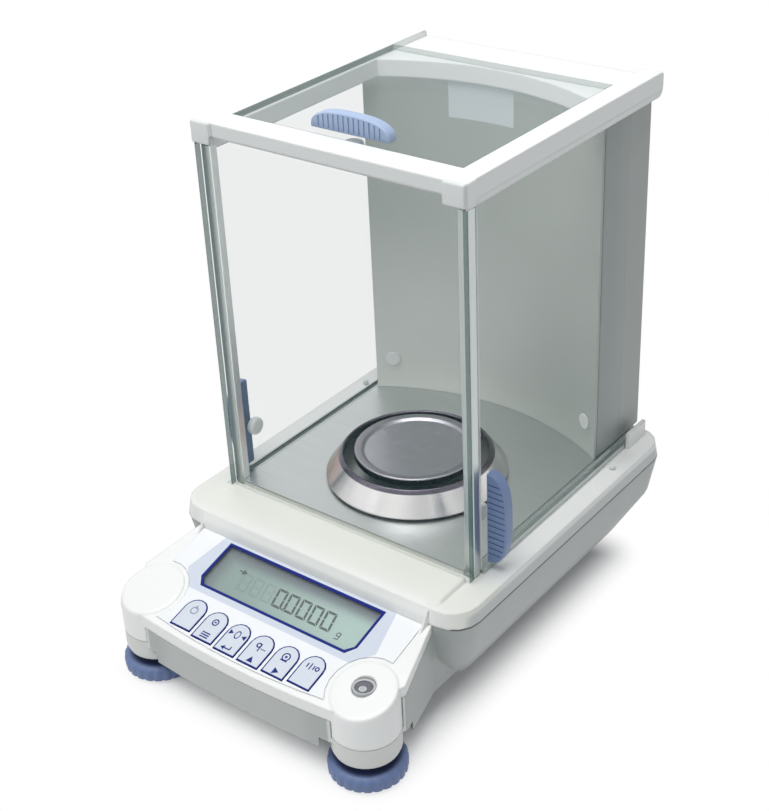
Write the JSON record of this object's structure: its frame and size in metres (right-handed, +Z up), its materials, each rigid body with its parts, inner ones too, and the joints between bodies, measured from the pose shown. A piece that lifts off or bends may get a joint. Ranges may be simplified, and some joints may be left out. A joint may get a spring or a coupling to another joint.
{
  "type": "semi-micro balance",
  "caption": "Laboratory balance with a glass draught shield, sliding side and top doors, a round pan inside a guard ring, and a sloping control panel in front.",
  "frame": {"origin": "middle of the footprint, on the level of the feet's undersides", "axes": "+Z up, -Y toward the user (control panel in front), +X to the user's right"},
  "size_m": [0.217, 0.3122, 0.3309],
  "materials": {
    "cover_white": "semi-gloss moulded ABS",
    "case_grey": "fine-textured moulded ABS",
    "overlay_film": "printed polyester film",
    "key_film": "printed polyester film over a plunger",
    "window_clear": "clear tinted acrylic",
    "display_glass": "grey-green liquid crystal panel",
    "board_green": "green solder mask",
    "bezel_grey": "moulded",
    "level_glass": "clear vial with fluid and a bubble",
    "foot_blue": "matt blue-grey moulded",
    "foot_rubber": "matt",
    "floor_steel": "satin stainless sheet",
    "wall_grey": "satin painted sheet",
    "knob_white": "smooth moulded",
    "column_grey": "satin painted",
    "jack_black": "moulded",
    "port_metal": "tinned shell",
    "frame_white": "semi-gloss moulded ABS",
    "clear_glass": "polished float glass, dark green edges",
    "post_metal": "satin anodised extrusion",
    "grip_blue": "matt blue-grey moulded, ribbed",
    "pan_steel": "satin stainless with a bright rim",
    "ring_steel": "polished stainless",
    "cast_metal": "as cast and machined",
    "magnet_metal": "plated steel",
    "screw_metal": "plated steel"
  },
  "bodies": {
    "housing": {"upper_cover": "cover_white", "lower_case": "case_grey", "keypad_overlay": "overlay_film", "lcd_window": "window_clear", "lcd_module": "display_glass", "display_board": "board_green", "main_board": "board_green", "level_bezel": "bezel_grey", "level_vial": "level_glass", "rear_foot_left": "foot_rubber", "rear_foot_right": "foot_rubber", "floor_plate": "floor_steel", "chamber_rear_wall": "wall_grey", "wall_button_left": "knob_white", "wall_button_right": "knob_white", "door_stop_left": "knob_white", "door_stop_right": "knob_white", "rear_housing": "column_grey", "dc_jack": "jack_black", "serial_port": "port_metal", "top_frame": "frame_white", "front_glass": "clear_glass", "corner_post_left": "post_metal", "corner_post_right": "post_metal", "door_track_left": "post_metal", "door_track_right": "post_metal", "pan_spindle": "cast_metal", "chassis_plate": "cast_metal", "weigh_cell": "cast_metal", "magnet_can": "magnet_metal", "case_screw_front_left": "screw_metal", "case_screw_front_right": "screw_metal", "case_screw_rear_left": "screw_metal", "case_screw_rear_right": "screw_metal"},
    "side_door_left": {"side_door_left": "clear_glass", "side_handle_left": "grip_blue", "door_knob_left": "knob_white"},
    "side_door_right": {"side_door_right": "clear_glass", "side_handle_right": "grip_blue", "door_knob_right": "knob_white"},
    "top_door": {"top_door": "clear_glass", "top_handle": "grip_blue", "top_door_knob": "knob_white"},
    "pan": {"weighing_pan": "pan_steel"},
    "ring": {"draft_ring": "ring_steel"},
    "foot_pad_left": {"foot_pad_left": "foot_rubber"},
    "foot_pad_right": {"foot_pad_right": "foot_rubber"},
    "foot_wheel_left": {"foot_wheel_left": "foot_blue"},
    "foot_wheel_right": {"foot_wheel_right": "foot_blue"},
    "key_1": {"key_1": "key_film"},
    "key_2": {"key_2": "key_film"},
    "key_3": {"key_3": "key_film"},
    "key_4": {"key_4": "key_film"},
    "key_5": {"key_5": "key_film"},
    "key_6": {"key_6": "key_film"}
  },
  "joints": [
    {"name": "side_door_left_slide", "type": "slide", "parent": "housing", "child": "side_door_left", "axis": [0, 1, 0], "range_m": [0, 0.11]},
    {"name": "side_door_right_slide", "type": "slide", "parent": "housing", "child": "side_door_right", "axis": [0, 1, 0], "range_m": [0, 0.11]},
    {"name": "top_door_slide", "type": "slide", "parent": "housing", "child": "top_door", "axis": [0, 1, 0], "range_m": [0, 0.11]},
    {"name": "pan_lift", "type": "slide", "parent": "housing", "child": "pan", "axis": [0, 0, 1], "range_m": [0, 0.06]},
    {"name": "ring_lift", "type": "slide", "parent": "housing", "child": "ring", "axis": [0, 0, 1], "range_m": [0, 0.06]},
    {"name": "key_1_press", "type": "slide", "parent": "housing", "child": "key_1", "axis": [0, 0, -1], "range_m": [0, 0.0006], "stiffness_N_per_m": 800},
    {"name": "key_2_press", "type": "slide", "parent": "housing", "child": "key_2", "axis": [0, 0, -1], "range_m": [0, 0.0006], "stiffness_N_per_m": 800},
    {"name": "key_3_press", "type": "slide", "parent": "housing", "child": "key_3", "axis": [0, 0, -1], "range_m": [0, 0.0006], "stiffness_N_per_m": 800},
    {"name": "key_4_press", "type": "slide", "parent": "housing", "child": "key_4", "axis": [0, 0, -1], "range_m": [0, 0.0006], "stiffness_N_per_m": 800},
    {"name": "key_5_press", "type": "slide", "parent": "housing", "child": "key_5", "axis": [0, 0, -1], "range_m": [0, 0.0006], "stiffness_N_per_m": 800},
    {"name": "key_6_press", "type": "slide", "parent": "housing", "child": "key_6", "axis": [0, 0, -1], "range_m": [0, 0.0006], "stiffness_N_per_m": 800},
    {"name": "foot_left_lift", "type": "slide", "parent": "housing", "child": "foot_pad_left", "axis": [0, 0, 1], "range_m": [-0.0032, 0.0032]},
    {"name": "foot_left_turn", "type": "hinge", "parent": "foot_pad_left", "child": "foot_wheel_left", "pos_m": [-0.08, -0.1329, 0.0095], "axis": [0, 0, 1], "range_deg": [-900, 900]},
    {"name": "foot_right_lift", "type": "slide", "parent": "housing", "child": "foot_pad_right", "axis": [0, 0, 1], "range_m": [-0.0032, 0.0032]},
    {"name": "foot_right_turn", "type": "hinge", "parent": "foot_pad_right", "child": "foot_wheel_right", "pos_m": [0.08, -0.1329, 0.0095], "axis": [0, 0, 1], "range_deg": [-900, 900]}
  ],
  "couplings": [
    {"joint": "foot_left_lift", "follows": "foot_left_turn", "m_per_rad": 0.0001989},
    {"joint": "foot_right_lift", "follows": "foot_right_turn", "m_per_rad": 0.0001989}
  ]
}
